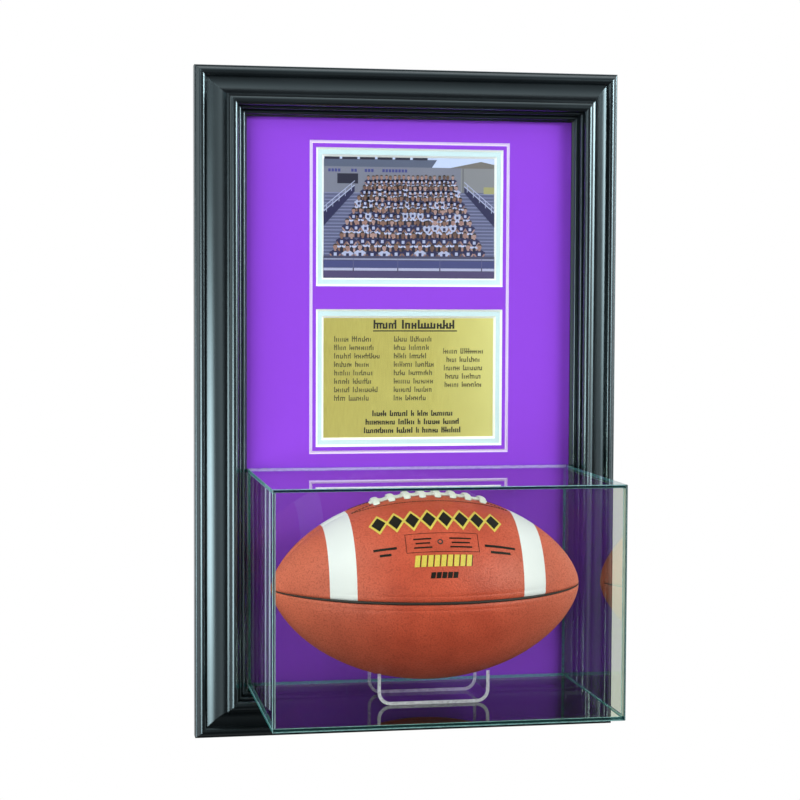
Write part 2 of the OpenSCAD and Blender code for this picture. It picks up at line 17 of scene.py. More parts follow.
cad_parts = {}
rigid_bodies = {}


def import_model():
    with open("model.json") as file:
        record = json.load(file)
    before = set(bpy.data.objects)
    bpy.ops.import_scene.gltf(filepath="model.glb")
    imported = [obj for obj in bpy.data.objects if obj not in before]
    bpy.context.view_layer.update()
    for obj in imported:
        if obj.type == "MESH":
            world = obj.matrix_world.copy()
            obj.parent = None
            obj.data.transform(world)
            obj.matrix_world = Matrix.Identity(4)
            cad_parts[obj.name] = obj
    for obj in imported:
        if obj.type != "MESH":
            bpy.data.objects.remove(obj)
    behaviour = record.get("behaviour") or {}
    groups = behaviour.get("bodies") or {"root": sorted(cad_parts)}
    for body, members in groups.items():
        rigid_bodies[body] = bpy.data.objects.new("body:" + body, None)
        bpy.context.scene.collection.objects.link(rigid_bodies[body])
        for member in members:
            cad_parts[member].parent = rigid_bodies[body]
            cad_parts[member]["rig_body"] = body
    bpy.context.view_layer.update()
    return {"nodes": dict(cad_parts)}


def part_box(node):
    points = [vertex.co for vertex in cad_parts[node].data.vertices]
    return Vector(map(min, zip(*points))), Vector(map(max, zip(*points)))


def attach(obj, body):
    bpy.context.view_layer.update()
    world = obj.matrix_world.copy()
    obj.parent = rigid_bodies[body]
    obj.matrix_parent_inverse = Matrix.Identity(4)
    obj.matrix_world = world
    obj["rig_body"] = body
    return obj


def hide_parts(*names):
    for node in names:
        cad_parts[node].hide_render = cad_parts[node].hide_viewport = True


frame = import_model()

MM = 0.001
scene = bpy.context.scene
scene.view_settings.view_transform = "Standard"
scene.cycles.transparent_max_bounces = 32
scene.cycles.max_bounces = 12


# ---- node trees ----

class Nodes:
    """A node tree, with short ways to add and join its nodes."""

    def __init__(self, tree):
        self.tree = tree

    def feed(self, socket, value):
        """Sets or links a socket."""
        if isinstance(value, bpy.types.NodeSocket):
            self.tree.links.new(value, socket)
        else:
            socket.default_value = value

    def add(self, kind, inputs=None, **props):
        node = self.tree.nodes.new("ShaderNode" + kind)
        for key, value in props.items():
            setattr(node, key, value)
        for key, value in (inputs or {}).items():
            self.feed(node.inputs[key], value)
        return node

    def span(self, value, low, high, start=0.0, end=1.0):
        """value from start..end carried to low..high."""
        return self.add("MapRange", {"Value": value, "From Min": start, "From Max": end,
                                     "To Min": low, "To Max": high}).outputs[0]

    def math(self, operation, a, b=0.0):
        return self.add("Math", {0: a, 1: b}, operation=operation).outputs[0]


# ---- camera, lights and backdrop ----

CAMERA_PLACE = (-0.3479, -1.8793, 0.106)
CAMERA_TURN = 10.419     # degrees to the right of straight ahead
CAMERA_DIP = 3.142       # degrees below level
CAMERA_ROLL = 0.239      # degrees that the camera leans
LENS_MM = 88.14
SENSOR_MM = 36


def add_camera():
    """The camera stands 1.9 m away, to the left of the case and above its middle."""
    turn, dip, roll = (math.radians(a) for a in (CAMERA_TURN, CAMERA_DIP, CAMERA_ROLL))
    forward = Vector((math.sin(turn) * math.cos(dip), math.cos(turn) * math.cos(dip), -math.sin(dip)))
    right = Vector((math.cos(turn), -math.sin(turn), 0))
    up = right.cross(forward)
    side = math.cos(roll) * right + math.sin(roll) * up
    top = math.cos(roll) * up - math.sin(roll) * right
    data = bpy.data.cameras.new("camera")
    data.lens = LENS_MM
    data.sensor_width = SENSOR_MM
    camera = bpy.data.objects.new("camera", data)
    axes = Matrix((side, top, -forward)).transposed()
    camera.matrix_world = Matrix.Translation(CAMERA_PLACE) @ axes.to_4x4()
    scene.collection.objects.link(camera)
    scene.camera = camera


def add_softbox(name, place, aim, size, power, faded=False):
    """A square-edged lamp, or one that fades from its middle to its rim."""
    data = bpy.data.lights.new(name, "AREA")
    data.shape = "RECTANGLE"
    data.size, data.size_y = size
    data.energy = power
    if faded:
        data.use_nodes = True
        nodes = Nodes(data.node_tree)
        place_on_lamp = nodes.add("NewGeometry").outputs["Parametric"]
        off = nodes.add("VectorMath", {0: place_on_lamp, 1: (0.5, 0.5, 0)}, operation="DISTANCE")
        fade = nodes.add("MapRange", {"Value": off.outputs["Value"], "From Min": 0.0, "From Max": 0.5,
                                      "To Min": 1.0, "To Max": 0.0}, interpolation_type="SMOOTHSTEP")
        nodes.feed(nodes.tree.nodes["Emission"].inputs["Strength"], fade.outputs[0])
    lamp = bpy.data.objects.new(name, data)
    lamp.location = place
    lamp.rotation_euler = (Vector(aim) - Vector(place)).to_track_quat("-Z", "Y").to_euler()
    scene.collection.objects.link(lamp)


def add_world(front, behind, below):
    """White where the camera sees it. As light it is dim in front, bright behind and dimmer below."""
    white = (1, 1, 1, 1)
    world = bpy.data.worlds.new("studio")
    world.use_nodes = True
    scene.world = world
    nodes = Nodes(world.node_tree)
    nodes.tree.nodes.clear()
    toward = nodes.add("SeparateXYZ", {0: nodes.add("TexCoord").outputs["Generated"]})
    depth = nodes.span(toward.outputs["Y"], front, behind, -0.75, 0.15)
    height = nodes.span(toward.outputs["Z"], below, 1, -0.5, -0.05)
    fill = nodes.add("Background", {"Color": white, "Strength": nodes.math("MULTIPLY", depth, height)})
    seen = nodes.add("Background", {"Color": white})
    by_camera = nodes.add("LightPath").outputs["Is Camera Ray"]
    mix = nodes.add("MixShader", {0: by_camera, 1: fill.outputs[0], 2: seen.outputs[0]})
    nodes.add("OutputWorld", {"Surface": mix.outputs[0]})


def make_studio():
    """One hard key lamp, one small high lamp and two wide soft ones."""
    add_camera()
    add_world(0.08, 0.9, 0.12)
    add_softbox("key_right", (2.45, -2.65, 1.15), (0, 0, 0), (0.8, 0.8), 74)
    add_softbox("high_left", (-1.45, -1.15, 1.3), (-0.1, -0.1, -0.1), (1.2, 0.9), 31)
    add_softbox("low_left", (-1.65, -1.9, -0.38), (-0.15, 0, -0.1), (2.4, 1.5), 140, faded=True)
    add_softbox("wide_right", (2.15, -1.65, 0.55), (0.15, 0, 0), (1.8, 2.2), 145, faded=True)


# ---- materials ----

class Look(Nodes):
    """A node material built round one Principled shader."""

    def __init__(self, name, colour, rough, **inputs):
        self.mat = bpy.data.materials.new(name)
        self.mat.use_nodes = True
        super().__init__(self.mat.node_tree)
        self.shader = self.tree.nodes["Principled BSDF"]
        self.output = self.tree.nodes["Material Output"]
        self.put("Base Color", (*colour, 1))
        self.put("Roughness", rough)
        for key, value in inputs.items():
            self.put(key.replace("_", " "), value)

    def put(self, key, value):
        """Sets or links one of the shader's sockets."""
        self.feed(self.shader.inputs[key], value)

    def place(self, stretch=(1, 1, 1)):
        """Object coordinates in metres, squeezed by stretch along each axis."""
        where = self.add("TexCoord").outputs["Object"]
        return self.add("Mapping", {"Vector": where, "Scale": stretch}).outputs[0]

    def across(self):
        """The place from left to right, in metres."""
        return self.add("SeparateXYZ", {"Vector": self.place()}).outputs[0]

    def noise(self, scale, detail=2.0, stretch=(1, 1, 1), rough=0.5):
        return self.add("TexNoise", {"Vector": self.place(stretch), "Scale": scale,
                                     "Detail": detail, "Roughness": rough}).outputs[0]

    def cells(self, scale):
        return self.add("TexVoronoi", {"Vector": self.place(), "Scale": scale},
                        feature="SMOOTH_F1").outputs["Distance"]

    def ramp(self, value, low, high, start=0.0, end=1.0):
        """A colour between low and high as value goes from start to end."""
        node = self.add("ValToRGB", {"Fac": value})
        first, last = node.color_ramp.elements
        first.position, first.color = start, (*low, 1)
        last.position, last.color = end, (*high, 1)
        return node.outputs["Color"]

    def mix(self, share, a, b):
        """A colour mixed from a and b, each a colour or a socket."""
        node = self.add("Mix", {0: share}, data_type="RGBA")
        for index, value in ((6, a), (7, b)):
            self.feed(node.inputs[index], value if not isinstance(value, tuple) else (*value, 1))
        return node.outputs[2]

    def thin(self, tint, solid):
        """Lets tinted light through the surface; solid is the share that stays."""
        through = self.add("BsdfTransparent", {"Color": (*tint, 1)}).outputs[0]
        mix = self.add("MixShader", {"Fac": solid, 1: through, 2: self.shader.outputs[0]})
        self.tree.links.new(mix.outputs[0], self.output.inputs["Surface"])

    def bump(self, height, depth, after=None):
        """Adds relief of that depth in metres, on top of an earlier relief."""
        node = self.add("Bump", {"Height": height, "Distance": depth, "Strength": 1.0})
        if after is not None:
            self.tree.links.new(after, node.inputs["Normal"])
        self.put("Normal", node.outputs[0])
        return node.outputs[0]


def lacquer(name, grain):
    """Satin black lacquer over wood, its faint grain running along one axis."""
    look = Look(name, (0.004, 0.005, 0.006), 0.24, IOR=1.6, Specular_IOR_Level=1.0,
                Specular_Tint=(0.66, 0.92, 1.0, 1))
    along = tuple(0.04 if axis == grain else 1 for axis in "XYZ")
    lines = look.noise(900, 3, along)
    cloud = look.noise(14, 2)
    look.put("Roughness", look.span(cloud, 0.22, 0.27, 0.3, 0.7))
    look.bump(lines, 0.000003, look.bump(look.noise(260, 2), 0.000005))
    return look.mat


def stained_wood():
    """The cabinet's sides: wood stained nearly black, its grain upright."""
    look = Look("stained_wood", (0.018, 0.020, 0.022), 0.45)
    grain = look.noise(700, 4, (1, 1, 0.05))
    look.put("Base Color", look.ramp(grain, (0.012, 0.013, 0.014), (0.030, 0.031, 0.033), 0.35, 0.7))
    look.put("Roughness", look.span(look.noise(30), 0.38, 0.55, 0.3, 0.7))
    look.bump(grain, 0.00008)
    return look.mat


def hardboard():
    """The back panel: pressed brown fibres in a cloudy sheet."""
    look = Look("back_board", (0.23, 0.13, 0.06), 0.7)
    fibres = look.noise(1500, 5, (1, 1, 0.35), 0.7)
    cloud = look.noise(12, 3)
    base = look.ramp(cloud, (0.19, 0.105, 0.05), (0.27, 0.16, 0.08), 0.35, 0.65)
    look.put("Base Color", look.mix(look.span(fibres, 0, 0.6, 0.35, 0.75), base, (0.11, 0.06, 0.03)))
    look.bump(fibres, 0.0001)
    return look.mat


def metal(name, low, high, rough, brushed=None):
    """Bare metal with fine scratches, or brushed along one axis."""
    look = Look(name, low, rough, Metallic=1.0)
    stretch = tuple(0.02 if axis == brushed else 1 for axis in "XYZ")
    lines = look.noise(2600, 4, stretch)
    look.put("Base Color", look.ramp(lines, low, high, 0.3, 0.7))
    look.put("Roughness", look.span(look.noise(220, 3), rough - 0.07, rough + 0.07, 0.3, 0.7))
    look.bump(lines, 0.00001)
    return look.mat


def pine():
    """Raw softwood for the strips that no one sees."""
    look = Look("raw_wood", (0.62, 0.44, 0.26), 0.65)
    rings = look.add("TexWave", {"Vector": look.place((1, 1, 0.08)), "Scale": 90.0,
                                 "Distortion": 5.0, "Detail": 3.0}, bands_direction="X").outputs[0]
    look.put("Base Color", look.ramp(rings, (0.66, 0.48, 0.29), (0.48, 0.31, 0.16), 0.4, 1.0))
    look.bump(rings, 0.00006)
    return look.mat


def board(name, colour, fleck):
    """Mat board or card: a soft paper surface with a faint fleck."""
    look = Look(name, colour, 0.85, Specular_IOR_Level=0.15)
    tooth = look.noise(2400, 4, rough=0.65)
    dark = tuple(c * (1 - fleck) for c in colour)
    light = tuple(min(1, c * (1 + fleck)) for c in colour)
    look.put("Base Color", look.ramp(tooth, dark, light, 0.3, 0.7))
    look.bump(tooth, 0.00003)
    return look.mat


def brushed_brass():
    """The plaque: yellow brass, brushed upright, a little cloudy, and paler to the right by a painted
    highlight.
    """
    look = Look("brass_sheet", (0.84, 0.75, 0.23), 0.4, Metallic=0.85)
    lines = look.noise(3000, 4, (1, 1, 0.03))
    cloud = look.span(look.noise(9, 2), 0, 0.5, 0.4, 0.7)
    base = look.ramp(lines, (0.72, 0.61, 0.165), (0.84, 0.74, 0.23), 0.3, 0.7)
    base = look.mix(cloud, base, (0.88, 0.81, 0.27))
    # Painted highlight: the brass turns pale yellow from left to right.
    paler = look.span(look.across(), 0, 0.9, 20 * MM, 85 * MM)
    look.put("Base Color", look.mix(paler, base, (1.0, 0.93, 0.36)))
    look.put("Roughness", look.span(lines, 0.38, 0.5, 0.3, 0.7))
    look.bump(lines, 0.00001)
    return look.mat


def painted(name, rough, speckle, tone=(1, 1, 1), coat=0.0):
    """Colour from the piece's own paint attribute, with one tone over all of it and dark specks."""
    look = Look(name, (0.5, 0.5, 0.5), rough, Coat_Weight=coat, Coat_Roughness=0.12)
    paint = look.add("Attribute", attribute_name="paint").outputs["Color"]
    ink = look.add("VectorMath", {0: paint, 1: tone}, operation="MULTIPLY").outputs[0]
    speck = look.noise(5200, 2)
    look.put("Base Color", look.mix(look.span(speck, 0.0, speckle, 0.4, 0.8), ink, (0.07, 0.06, 0.08)))
    look.bump(speck, 0.000006)
    return look.mat


def clear(name, tint, slant_tint):
    """A clear sheet's face: tints more at a slant and, from outside, mirrors by angle."""
    look = Look(name, tint, 0)
    outside = look.math("SUBTRACT", 1.0, look.add("NewGeometry").outputs["Backfacing"])
    fresnel = look.math("MULTIPLY", look.add("Fresnel", {"IOR": 1.55}).outputs[0], outside)
    slant = look.add("LayerWeight", {"Blend": 0.5}).outputs["Facing"]
    colour = look.mix(look.span(slant, 0, 1, 0.3, 0.9), tint, slant_tint)
    through = look.add("BsdfTransparent", {"Color": colour}).outputs[0]
    mirror = look.add("BsdfGlossy", {"Color": (1, 1, 1, 1), "Roughness": 0}).outputs[0]
    mix = look.add("MixShader", {"Fac": fresnel, 1: through, 2: mirror})
    look.tree.nodes.remove(look.shader)
    look.tree.links.new(mix.outputs[0], look.output.inputs["Surface"])
    return look.mat


def glass_rim(name, colour, tint, solid, rough=0.12):
    """A sheet's narrow edge: tinted by the long way through the glass, partly see-through."""
    look = Look(name, colour, rough, Coat_Weight=0.5, Coat_Roughness=0.05)
    streak = look.noise(420, 3)
    darker = tuple(c * 0.55 for c in colour)
    look.put("Base Color", look.ramp(streak, darker, colour, 0.3, 0.65))
    look.thin(tint, solid)
    return look.mat


def side_pane_end(name, pale, dark, dark_x):
    """The front end of a side pane: pale where the light gathers, with one dark line at dark_x."""
    look = Look(name, pale, 0.12, Coat_Weight=0.5, Coat_Roughness=0.05)
    away = look.math("ABSOLUTE", look.math("SUBTRACT", look.across(), dark_x))
    share = look.span(away, 1, 0, 0.4 * MM, 0.75 * MM)
    light = look.ramp(look.noise(90, 3), tuple(c * 0.8 for c in pale), pale, 0.3, 0.6)
    look.put("Base Color", look.mix(share, light, dark))
    look.thin((0.7, 0.85, 0.85), look.span(share, 0.7, 0.9))
    return look.mat


def arris_glass(name, pale, dark, right_x):
    """The thin ground edges: pale, but dark on the right beyond right_x, away from the light."""
    look = Look(name, pale, 0.12, Coat_Weight=0.3, Coat_Roughness=0.05)
    share = look.span(look.across(), 0, 1, right_x - 2 * MM, right_x)
    light = look.ramp(look.noise(420, 3), tuple(c * 0.55 for c in pale), pale, 0.3, 0.65)
    look.put("Base Color", look.mix(share, light, dark))
    look.thin((0.6, 0.85, 0.82), 0.8)
    return look.mat


def leather(name, low, high, painted_tip_sheen, pebble_depth):
    """Pebbled football leather with mottled dyeing, darker between the pebbles, and paler at the tips
    by a painted sheen.
    """
    look = Look(name, high, 0.5, Specular_IOR_Level=0.45)
    pebbles = look.cells(780)
    dye_and_tip_sheen = look.ramp(look.noise(38, 4), low, high, 0.3, 0.7)
    # Painted sheen: the colour turns paler towards the tips.
    along = look.math("ABSOLUTE", look.across())
    dye_and_tip_sheen = look.mix(look.span(along, 0, 0.5, 40 * MM, 125 * MM), dye_and_tip_sheen, painted_tip_sheen)
    gap = tuple(c * 0.55 for c in low)
    look.put("Base Color", look.mix(look.span(pebbles, 0.0, 0.5, 0.35, 0.75), dye_and_tip_sheen, gap))
    look.put("Roughness", look.span(pebbles, 0.42, 0.6, 0.2, 0.7))
    round_pebbles = look.math("SUBTRACT", 1.0, pebbles)
    look.bump(look.noise(3200, 2), 0.00004, look.bump(round_pebbles, pebble_depth))
    return look.mat


def plain(name, colour, rough, grain_scale, depth, spread=0.15, **inputs):
    """Paint, rubber, thread or ink: a colour with slight unevenness and a fine relief."""
    look = Look(name, colour, rough, **inputs)
    grain = look.noise(grain_scale, 3)
    low = tuple(c * (1 - spread) for c in colour)
    high = tuple(min(1, c * (1 + spread)) for c in colour)
    look.put("Base Color", look.ramp(grain, low, high, 0.3, 0.7))
    look.put("Roughness", look.span(grain, rough - 0.05, rough + 0.05, 0.3, 0.7))
    look.bump(grain, depth)
    return look.mat


# ---- building pieces ----

def add_piece(name, mesh, body, looks, stands_for=()):
    """A visual piece that rides a body, in place of the CAD nodes it stands for."""
    piece = bpy.data.objects.new(name, mesh)
    scene.collection.objects.link(piece)
    for look in looks:
        mesh.materials.append(look)
    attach(piece, body)
    if stands_for:
        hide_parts(*stands_for)
    return piece


SMOOTH_BELOW = math.radians(25)    # faces that meet at less than this are shaded as one
FLAT_BELOW = math.radians(0.4)     # faces that meet at less than this become one face
BEVEL_ABOVE = math.radians(30)


def dress(node, looks, pick=None, round_edge=0.0, shrink=0.0, segments=2):
    """A welded copy of a CAD node, its faces given looks by pick(normal, centre).

    round_edge is the radius of its edges and shrink how far its faces sink, in millimetres.
    """
    source = frame["nodes"][node]
    shape = bmesh.new()
    shape.from_mesh(source.data)
    bmesh.ops.remove_doubles(shape, verts=shape.verts, dist=1e-6)
    bmesh.ops.dissolve_limit(shape, angle_limit=FLAT_BELOW, verts=shape.verts, edges=shape.edges)
    shape.normal_update()
    if shrink:
        for vert in shape.verts:
            vert.co -= vert.normal * vert.calc_shell_factor() * shrink * MM
    for face in shape.faces:
        face.smooth = True
        face.material_index = pick(face.normal, face.calc_center_median()) if pick else 0
    for edge in shape.edges:
        edge.smooth = edge.calc_face_angle(0) < SMOOTH_BELOW
    mesh = bpy.data.meshes.new("dressed_" + node)
    shape.to_mesh(mesh)
    shape.free()
    piece = add_piece("dressed_" + node, mesh, source["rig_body"], looks, [node])
    if round_edge:
        bevel(piece, round_edge * MM, segments)
    return piece


def bevel(piece, width, segments):
    """Rounds every edge sharper than BEVEL_ABOVE."""
    modifier = piece.modifiers.new("rounded edges", "BEVEL")
    modifier.width = width
    modifier.segments = segments
    modifier.limit_method = "ANGLE"
    modifier.angle_limit = BEVEL_ABOVE
    modifier.harden_normals = True
    modifier.use_clamp_overlap = True


def paint_node(node, look):
    """Gives a CAD node that stays as it is a finished material."""
    frame["nodes"][node].material_slots[0].material = look


class Sheet:
    """Flat shapes laid on a plane that faces the front, each a little before the last one."""

    LIFT = 0.012 * MM

    def __init__(self, lo, hi):
        """The sheet lies just before the front of a box, and is measured from its middle."""
        middle = (lo + hi) / 2
        self.origin = (middle.x, lo.y - 0.02 * MM, middle.z)
        self.verts, self.faces, self.paint = [], [], []
        self.layer = 0

    def up(self):
        """The next shapes lie in front of those before."""
        self.layer += 1

    def shape(self, points, colour):
        """A polygon of [x, z] points in millimetres from the centre, anticlockwise from the front."""
        x0, y0, z0 = self.origin
        first = len(self.verts)
        self.verts += [(x0 + x * MM, y0 - self.layer * self.LIFT, z0 + z * MM) for x, z in points]
        self.faces.append(list(range(first, first + len(points))))
        self.paint.append(colour)

    def bar(self, x0, z0, x1, z1, colour):
        self.shape([(x0, z0), (x1, z0), (x1, z1), (x0, z1)], colour)

    def line(self, start, end, width, colour):
        along = Vector((end[0] - start[0], end[1] - start[1]))
        side = Vector((-along.y, along.x)).normalized() * width / 2
        a, b = Vector(start), Vector(end)
        self.shape([a - side, b - side, b + side, a + side], colour)

    def oval(self, x, z, half_w, half_h, colour, count=10):
        turns = [2 * math.pi * i / count for i in range(count)]
        self.shape([(x + half_w * math.cos(t), z + half_h * math.sin(t)) for t in turns], colour)

    def mesh(self, name):
        mesh = bpy.data.meshes.new(name)
        mesh.from_pydata(self.verts, [], self.faces)
        layer = mesh.color_attributes.new("paint", "FLOAT_COLOR", "CORNER")
        corner = 0
        for face, colour in zip(self.faces, self.paint):
            for _ in face:
                layer.data[corner].color = (*colour, 1)
                corner += 1
        return mesh


# ---- cabinet and moulding ----

def make_cabinet():
    stained = stained_wood()
    for node in ("cabinet_side_left", "cabinet_side_right", "cabinet_top", "cabinet_bottom"):
        dress(node, [stained], round_edge=0.4)
    dress("back_panel", [hardboard()], round_edge=0.3)
    zinc = metal("zinc_steel", (0.50, 0.52, 0.55), (0.66, 0.67, 0.69), 0.34)
    for node in ("wall_plates", "wall_plate_rivets", "back_screws", "riser_screws", "catch_magnets",
                 "corner_nails", "strike_plates", "strike_screws"):
        paint_node(node, zinc)
    wood = pine()
    for node in ("riser_left", "riser_right", "riser_top", "riser_bottom"):
        paint_node(node, wood)
    brass = metal("brass_hinge", (0.62, 0.42, 0.16), (0.78, 0.56, 0.24), 0.3, "Z")
    for node in ("hinge_cabinet_leaves", "hinge_pins", "hinge_cabinet_screws", "hinge_door_leaves",
                 "hinge_door_screws"):
        paint_node(node, brass)


def make_moulding():
    """The four mitred rails, each with its grain along its length."""
    upright, level = lacquer("black_moulding_upright", "Z"), lacquer("black_moulding_level", "X")
    for side, look in (("left", upright), ("right", upright), ("top", level), ("bottom", level)):
        dress("rail_" + side, [look], round_edge=0.3)


# ---- the print: a team on a stand, in flat shapes ----

SKY = (0.80, 0.88, 0.95)
WALL = (0.27, 0.27, 0.28)
STEEL = (0.16, 0.17, 0.24)
NAVY = (0.018, 0.018, 0.075)
DEEP = (0.012, 0.012, 0.035)
PALE = (0.62, 0.64, 0.72)
KNEE = (0.72, 0.75, 0.84)
LIP = (0.25, 0.08, 0.06)
SKINS = ((0.50, 0.27, 0.18), (0.34, 0.17, 0.10), (0.60, 0.36, 0.26), (0.20, 0.10, 0.06))
HAIRS = ((0.02, 0.015, 0.01), (0.08, 0.04, 0.02), (0.16, 0.10, 0.04), (0.05, 0.03, 0.02))


def draw_backdrop(sheet, half_w, top):
    """The sky over a long wall on the left and a low building on the right."""
    roof, foot = top - 9.5, top - 34
    sheet.bar(-half_w, -top, half_w, top, STEEL)
    sheet.up()
    sheet.bar(-half_w, top - 14, half_w, top, SKY)
    sheet.up()
    sheet.bar(-half_w, foot, half_w * 0.6, roof, WALL)
    sheet.shape([(-half_w, roof), (half_w * 0.26, roof), (half_w * 0.32, top - 2.2),
                 (-half_w, top - 2.2)], (0.13, 0.15, 0.19))
    sheet.shape([(half_w * 0.46, top - 9.8), (half_w, top - 9.8), (half_w, top - 6),
                 (half_w * 0.84, top - 3.2)], (0.24, 0.21, 0.15))
    sheet.bar(half_w * 0.6, top - 33, half_w, top - 9.8, (0.33, 0.32, 0.27))
    sheet.up()


def draw_wall_details(sheet, half_w, top):
    """A yellow door, roof panels, a dark window and a sign of plain bars."""
    sheet.bar(half_w * 0.87, top - 42, half_w, top - 27.5, (0.50, 0.46, 0.16))
    panel_pitch, panel_w = 17, 14.5
    for i in range(6):
        x = -half_w + 1 + i * panel_pitch
        sheet.bar(x, top - 2.6, x + panel_w, top, DEEP)
    sheet.bar(-half_w * 0.84, top - 25.5, -half_w * 0.6, top - 16, DEEP)
    bar_pitch, bar_w = 3.1, 2.3
    for start, count in ((-78.5, 4), (-56.5, 2), (-43.5, 3), (-26.5, 8)):
        for i in range(count):
            x = start + i * bar_pitch
            sheet.bar(x, top - 14.4, x + bar_w, top - 11.6, (0.06, 0.06, 0.24))
    sheet.bar(half_w * 0.62, top - 33, half_w * 0.632, top - 10, (0.16, 0.15, 0.13))
    sheet.up()


def draw_benches(sheet, half_w, top):
    """The stand's steps, each with a paler edge."""
    step = 3.2
    for i in range(21):
        z = top - 34 - i * step
        sheet.bar(-half_w, z - step, half_w, z, (0.135, 0.14, 0.22))
        sheet.up()
        sheet.bar(-half_w, z - 0.9, half_w, z, (0.30, 0.31, 0.40))
    sheet.up()


def order(side, points):
    """Points of a shape that is mirrored for the left side, kept anticlockwise."""
    return points if side < 0 else points[::-1]


def draw_stair_rails(sheet, half_w, top):
    """A navy panel with two pale rails and five posts down each side of the stand."""
    for side in (-1, 1):
        x0, z0 = side * half_w * 0.64, top - 27
        x1, z1 = side * half_w, top - 52
        sheet.shape(order(side, [(x0, z0), (x0, z0 - 6), (x1, z1 - 14), (x1, z1)]), NAVY)
        sheet.up()
        sheet.line((x0, z0), (x1, z1), 0.9, PALE)
        sheet.line((x0, z0 + 4), (x1, z1 + 4), 0.7, PALE)
        for k in range(5):
            share = (k + 0.5) / 5
            x = x0 + (x1 - x0) * share
            z = z0 + (z1 - z0) * share
            sheet.bar(x - 0.3, z - 3, x + 0.3, z + 4, PALE)
    sheet.up()


def draw_player(sheet, x, z, size, jersey, chance):
    """One small seated player, front on: jersey, arms, pants, neck, head, hair and a plain face.

    The shapes are measured in shares of the player's size from the base of the neck at x, z.
    """
    skin = chance.choice(SKINS)
    hair = chance.choice(HAIRS)
    trim = PALE if jersey is NAVY else NAVY
    first_layer = sheet.layer

    def at(right, up):
        return x + right * size, z + up * size

    def bar(x0, z0, x1, z1, colour):
        sheet.bar(*at(x0, z0), *at(x1, z1), colour)

    def oval(right, up, half_w, half_h, colour, count=10):
        sheet.oval(*at(right, up), half_w * size, half_h * size, colour, count)

    def shape(points, colour):
        sheet.shape([at(*point) for point in points], colour)

    bar(-0.5, -1.3, 0.5, -0.6, DEEP)
    sheet.up()
    for side in (-1, 1):
        oval(side * 0.25, -0.74, 0.24, 0.15, KNEE)
        bar(side * 0.25 - 0.1, -1.25, side * 0.25 + 0.1, -0.9, skin)
    sheet.up()
    shape([(-0.38, -0.68), (0.38, -0.68), (0.52, -0.2), (0.22, 0), (-0.22, 0), (-0.52, -0.2)], jersey)
    sheet.up()
    for side in (-1, 1):
        sheet.line(at(side * 0.46, -0.34), at(side * 0.2, -0.72), 0.13 * size, skin)
    bar(-0.13, -0.5, 0.13, -0.22, trim)
    bar(-0.09, -0.08, 0.09, 0.12, skin)
    sheet.up()
    oval(0, 0.27, 0.19, 0.25, skin)
    sheet.up()
    shape([(0.2, 0.3), (0.15, 0.5), (0, 0.56), (-0.15, 0.5), (-0.2, 0.3), (-0.12, 0.4), (0.12, 0.4)],
          hair)
    for side in (-1, 1):
        oval(side * 0.075, 0.28, 0.02, 0.02, DEEP, 6)
    bar(-0.05, 0.14, 0.05, 0.16, LIP)
    sheet.layer = first_layer


def draw_team(sheet):
    """Seven rows, wider and larger towards the front."""
    chance = random.Random(7)
    rows = 7
    for row in range(rows):
        share = row / (rows - 1)
        middle = 1.0 - 2.5 * share
        half_w = 43 + 33 * share ** 1.15
        z = 36.5 - 67.5 * share ** 1.08
        count = round(20 - 7 * share)
        size = 7.4 + 3.6 * share
        for i in range(count):
            x = middle - half_w + 2 * half_w * (i + 0.5) / count + chance.uniform(-0.5, 0.5)
            lift = chance.uniform(-0.8, 0.8)
            jersey = NAVY if row in (0, 5) or chance.random() < 0.75 else PALE
            draw_player(sheet, x, z + lift, size, jersey, chance)
        sheet.layer += 6


def draw_front_seats(sheet, half_w, low):
    """The barrier before the team: dark bands, two pale rails and four posts."""
    sheet.bar(-half_w, low, half_w, low + 21, (0.075, 0.07, 0.12))
    sheet.up()
    sheet.bar(-half_w, low + 9.5, half_w, low + 16.5, (0.075, 0.08, 0.20))
    sheet.bar(-half_w, low, half_w, low + 6.5, (0.10, 0.07, 0.15))
    sheet.bar(-half_w, low + 7, half_w, low + 9.6, (0.62, 0.60, 0.66))
    sheet.bar(-half_w, low + 17.2, half_w, low + 18.6, (0.42, 0.42, 0.48))
    sheet.up()
    for x in (-55.0, -12.0, 29.0, 70.0):
        sheet.bar(x, low + 6.2, x + 1.2, low + 9.6, (0.10, 0.08, 0.12))
        sheet.bar(x + 0.4, low + 9.6, x + 0.9, low + 19, (0.16, 0.16, 0.24))
    sheet.up()


def make_print():
    """A made-up scene of a team on a stand, a little wider than its window."""
    lo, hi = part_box("photo_print")
    sheet = Sheet(lo, hi)
    hidden = 5.75            # mm of the paper's edge, under the mat, that carry no picture
    half_w = (hi.x - lo.x) / 2 / MM - hidden
    half_h = (hi.z - lo.z) / 2 / MM - hidden
    draw_backdrop(sheet, half_w, half_h)
    draw_wall_details(sheet, half_w, half_h)
    draw_benches(sheet, half_w, half_h)
    draw_stair_rails(sheet, half_w, half_h)
    draw_team(sheet)
    draw_front_seats(sheet, half_w, -half_h)
    add_piece("print_picture", sheet.mesh("print_picture"), "cabinet",
              [painted("print_ink", 0.45, 0.18, (0.68, 0.70, 0.95), coat=0.3)])


# ---- the plaque: rows of marks in place of engraved lines ----

def draw_words(sheet, x, z, height, width, words, ink, weight, chance):
    """A line of upright strokes in groups, standing for words, that spell nothing.

    Words are their shares of the width; the line starts at x.
    """
    gap = height * 0.7
    room = width - gap * (len(words) - 1)
    for word in words:
        length = room * word / sum(words)
        count = max(1, round(length / (height * 0.5)))
        step = length / count
        for i in range(count):
            tall = height * (1.42 if i == 0 or chance.random() < 0.16 else chance.uniform(0.85, 1.0))
            at = x + i * step
            sheet.bar(at, z, at + step * weight, z + tall, ink)
            if chance.random() < 0.6 and i < count - 1:
                foot = z + height * chance.choice((0.0, 0.38, 0.7))
                sheet.bar(at + step * weight, foot, at + step, foot + height * 0.26, ink)
        x += length + gap


